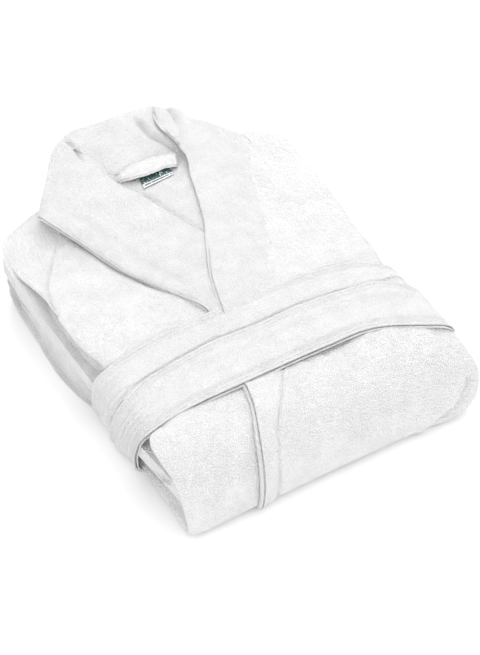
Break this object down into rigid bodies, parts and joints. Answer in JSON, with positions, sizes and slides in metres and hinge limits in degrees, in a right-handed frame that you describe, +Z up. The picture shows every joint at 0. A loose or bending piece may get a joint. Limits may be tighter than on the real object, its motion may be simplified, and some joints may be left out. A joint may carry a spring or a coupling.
{
  "type": "bathrobe",
  "caption": "Folded terry bathrobe with a shawl collar, hanging loop and a sash wound twice round the pack, lying face up.",
  "frame": {"origin": "on the underside of the folded robe, beside the sash, which is the floor plane", "axes": "+X towards the wearer's left front, +Y towards the collar, +Z up through the pack"},
  "size_m": [0.3892, 0.5119, 0.113],
  "materials": {
    "velour_terry": "white cotton velour terry, sheared pile, matte",
    "loop_terry": "white cotton terry with uncut loops, matte",
    "woven_label": "woven damask label, satin, teal on white",
    "satin_label": "printed satin ribbon, slight sheen"
  },
  "bodies": {
    "robe": {"right_front_panel": "velour_terry", "left_front_panel": "velour_terry", "back_panel": "loop_terry", "right_front_facing": "velour_terry", "left_front_facing": "velour_terry", "back_neck_facing": "loop_terry", "right_sleeve": "velour_terry", "left_sleeve": "velour_terry", "right_cuff": "velour_terry", "left_cuff": "velour_terry", "right_pocket": "velour_terry", "left_pocket": "velour_terry", "back_collar": "velour_terry", "under_collar": "loop_terry", "right_sash_loop": "velour_terry", "left_sash_loop": "velour_terry", "care_label": "satin_label"},
    "sash": {"sash": "velour_terry"},
    "hanging_loop": {"hanging_loop": "loop_terry"},
    "brand_label": {"brand_label": "woven_label"},
    "right_lapel": {"right_lapel": "velour_terry"},
    "left_lapel": {"left_lapel": "velour_terry"}
  },
  "joints": [
    {"name": "sash_slide", "type": "slide", "parent": "robe", "child": "sash", "axis": [0, -1, 0], "range_m": [0, 0.24]},
    {"name": "hanging_loop_lift", "type": "hinge", "parent": "robe", "child": "hanging_loop", "pos_m": [0.027, 0.246, 0.0883], "axis": [-1, 0, 0], "range_deg": [0, 75]},
    {"name": "brand_label_lift", "type": "hinge", "parent": "robe", "child": "brand_label", "pos_m": [0.028, 0.222, 0.0883], "axis": [-1, 0, 0], "range_deg": [0, 15]},
    {"name": "right_lapel_lift", "type": "hinge", "parent": "robe", "child": "right_lapel", "pos_m": [0.022, 0.098, 0.095], "axis": [-0.2622, 0.965, 0], "range_deg": [0, 45]},
    {"name": "left_lapel_lift", "type": "hinge", "parent": "robe", "child": "left_lapel", "pos_m": [0.06, 0.189, 0.095], "axis": [-0.3636, -0.9315, 0], "range_deg": [0, 45]}
  ]
}
